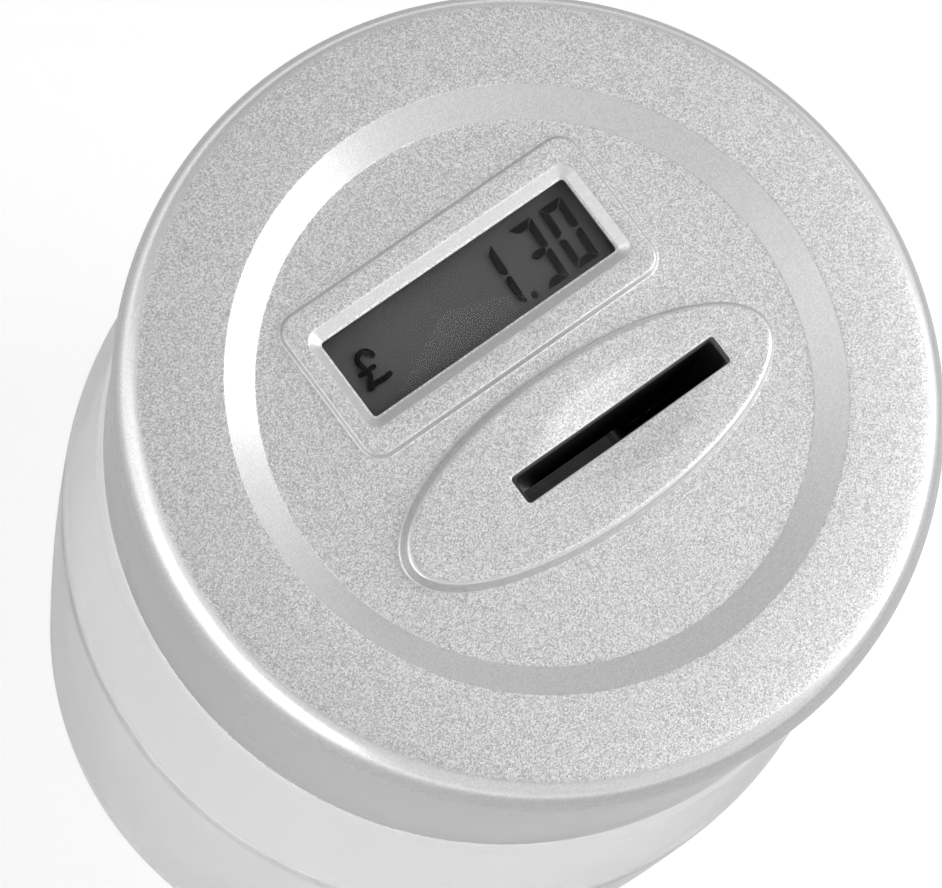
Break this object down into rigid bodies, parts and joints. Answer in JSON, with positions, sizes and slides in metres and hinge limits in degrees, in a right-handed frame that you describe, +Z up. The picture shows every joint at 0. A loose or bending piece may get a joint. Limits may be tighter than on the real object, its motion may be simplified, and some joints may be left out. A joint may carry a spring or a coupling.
{
  "type": "coin counting jar",
  "caption": "Clear screw-top savings jar with a satin silver lid that holds an LCD, a coin slot in an oval pad, a coin-measuring lever and a battery bay.",
  "frame": {"origin": "centre of the jar's base, on the surface it stands on", "axes": "+Z up along the jar's axis, +X the reading direction of the display, +Y from the coin slot towards the display"},
  "size_m": [0.133, 0.133, 0.185],
  "materials": {
    "clear_jar": "clear, slightly hazy",
    "seal_rubber": "dark grey foam rubber",
    "silver_skirt": "smooth satin silver",
    "silver_cover": "satin silver with a fine spark grain",
    "clear_window": "clear window",
    "lcd_glass": "dark grey LCD",
    "black_plastic": "black",
    "strip_rubber": "grey elastomer",
    "board_green": "green solder mask",
    "black_resin": "black resin",
    "capacitor_sleeve": "dark blue sleeve",
    "ivory_plastic": "ivory",
    "grey_plastic": "grey",
    "dark_drum": "dark grey, fine texture",
    "bright_steel": "bright plated steel",
    "contact_brass": "gold-plated brass",
    "cell_sleeve": "dark sleeve with a bright end",
    "red_wire": "red insulation",
    "black_wire": "black insulation",
    "grey_wire": "grey insulation"
  },
  "bodies": {
    "jar": {"jar": "clear_jar"},
    "seal": {"rim_seal": "seal_rubber"},
    "lid": {"skirt_ring": "silver_skirt", "top_cover": "silver_cover", "display_lens": "clear_window", "display_glass": "lcd_glass", "display_frame": "black_plastic", "contact_strips": "strip_rubber", "circuit_board": "board_green", "chip_blob": "black_resin", "capacitors": "capacitor_sleeve", "reset_switch": "black_plastic", "coin_chute": "black_plastic", "chute_cover": "black_plastic", "sensor_board": "board_green", "lever_spring": "bright_steel", "inner_cover": "dark_drum", "cell_front": "cell_sleeve", "cell_rear": "cell_sleeve", "contact_springs": "bright_steel", "contact_link": "bright_steel", "contact_plates": "bright_steel", "red_wire": "red_wire", "black_wire": "black_wire", "sensor_wires": "grey_wire", "board_screws": "bright_steel", "chute_screws": "bright_steel", "cover_screws": "bright_steel", "sensor_screws": "bright_steel"},
    "reset": {"reset_button": "grey_plastic", "switch_plunger": "ivory_plastic"},
    "lever": {"coin_lever": "black_plastic", "lever_shaft": "bright_steel", "wiper_contact": "contact_brass"},
    "door": {"battery_door": "dark_drum"}
  },
  "joints": [
    {"name": "lid_rise", "type": "slide", "parent": "jar", "child": "seal", "axis": [0, 0, 1], "range_m": [0, 0.024]},
    {"name": "lid_twist", "type": "hinge", "parent": "seal", "child": "lid", "pos_m": [0, 0, 0.1735], "axis": [0, 0, 1], "range_deg": [0, 720]},
    {"name": "reset_press", "type": "slide", "parent": "lid", "child": "reset", "axis": [0, 0, 1], "range_m": [0, 0.0006], "stiffness_N_per_m": 1500, "springref_m": -0.0003},
    {"name": "lever_swing", "type": "hinge", "parent": "lid", "child": "lever", "pos_m": [-0.0175, -0.0113, 0.17], "axis": [0, 1, 0], "range_deg": [0, 50], "stiffness_Nm_per_rad": 0.004, "springref_deg": -17.19, "deforming": ["lever_spring"]},
    {"name": "door_open", "type": "hinge", "parent": "lid", "child": "door", "pos_m": [0, -0.0399, 0.1514], "axis": [-1, 0, 0], "range_deg": [0, 75]}
  ],
  "couplings": [
    {"joint": "lid_rise", "follows": "lid_twist", "m_per_rad": 0.0019098}
  ]
}
